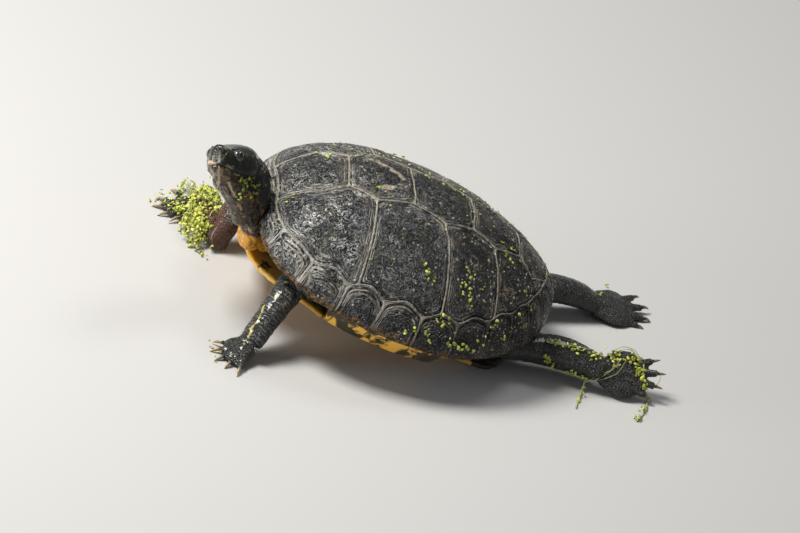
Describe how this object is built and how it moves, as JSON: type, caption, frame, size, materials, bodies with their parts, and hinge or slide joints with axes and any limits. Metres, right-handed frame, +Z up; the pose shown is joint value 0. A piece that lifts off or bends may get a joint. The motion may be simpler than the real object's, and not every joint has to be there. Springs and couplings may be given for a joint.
{
  "type": "red-eared slider turtle",
  "caption": "Red-eared slider turtle at rest: domed dark shell, forelegs planted, hind legs stretched out behind, neck raised and head turned to its left.",
  "frame": {"origin": "on the floor under the middle of the whole animal's bounding box, legs and head included", "axes": "+Z up from the floor; -X towards the front of the shell and +X towards the tail; -Y towards the turtle's left side, to which its head is turned"},
  "size_m": [0.352, 0.2046, 0.1207],
  "materials": {
    "scute": "dark blue-grey horn, worn and speckled, satin to glossy",
    "plastron": "orange-yellow horn with dark blotches, satin",
    "skin": "wet black-olive scaly skin with pale yellow stripes",
    "eye": "wet, clear and glossy",
    "claw": "translucent horn, satin",
    "weed": "wet yellow-green duckweed and rootlets"
  },
  "bodies": {
    "root": {"bridge_left": "plastron", "bridge_right": "plastron", "costal_left_1": "scute", "costal_left_2": "scute", "costal_left_3": "scute", "costal_left_4": "scute", "costal_right_1": "scute", "costal_right_2": "scute", "costal_right_3": "scute", "costal_right_4": "scute", "eye_left": "eye", "eye_right": "eye", "forearm_left": "skin", "forearm_right": "skin", "forefoot_left": "skin", "forefoot_left_claw_1": "claw", "forefoot_left_claw_2": "claw", "forefoot_left_claw_3": "claw", "forefoot_left_claw_4": "claw", "forefoot_left_claw_5": "claw", "forefoot_right": "skin", "forefoot_right_claw_1": "claw", "forefoot_right_claw_2": "claw", "forefoot_right_claw_3": "claw", "forefoot_right_claw_4": "claw", "forefoot_right_claw_5": "claw", "head": "skin", "hindfoot_left": "skin", "hindfoot_left_claw_1": "claw", "hindfoot_left_claw_2": "claw", "hindfoot_left_claw_3": "claw", "hindfoot_left_claw_4": "claw", "hindfoot_right": "skin", "hindfoot_right_claw_1": "claw", "hindfoot_right_claw_2": "claw", "hindfoot_right_claw_3": "claw", "hindfoot_right_claw_4": "claw", "lower_jaw": "skin", "marginals_left": "scute", "marginals_right": "scute", "neck": "skin", "nuchal": "scute", "plastron": "plastron", "shank_left": "skin", "shank_right": "skin", "tail": "skin", "thigh_left": "skin", "thigh_right": "skin", "trunk": "skin", "upper_arm_left": "skin", "upper_arm_right": "skin", "vertebral_1": "scute", "vertebral_2": "scute", "vertebral_3": "scute", "vertebral_4": "scute", "vertebral_5": "scute"}
  },
  "joints": []
}
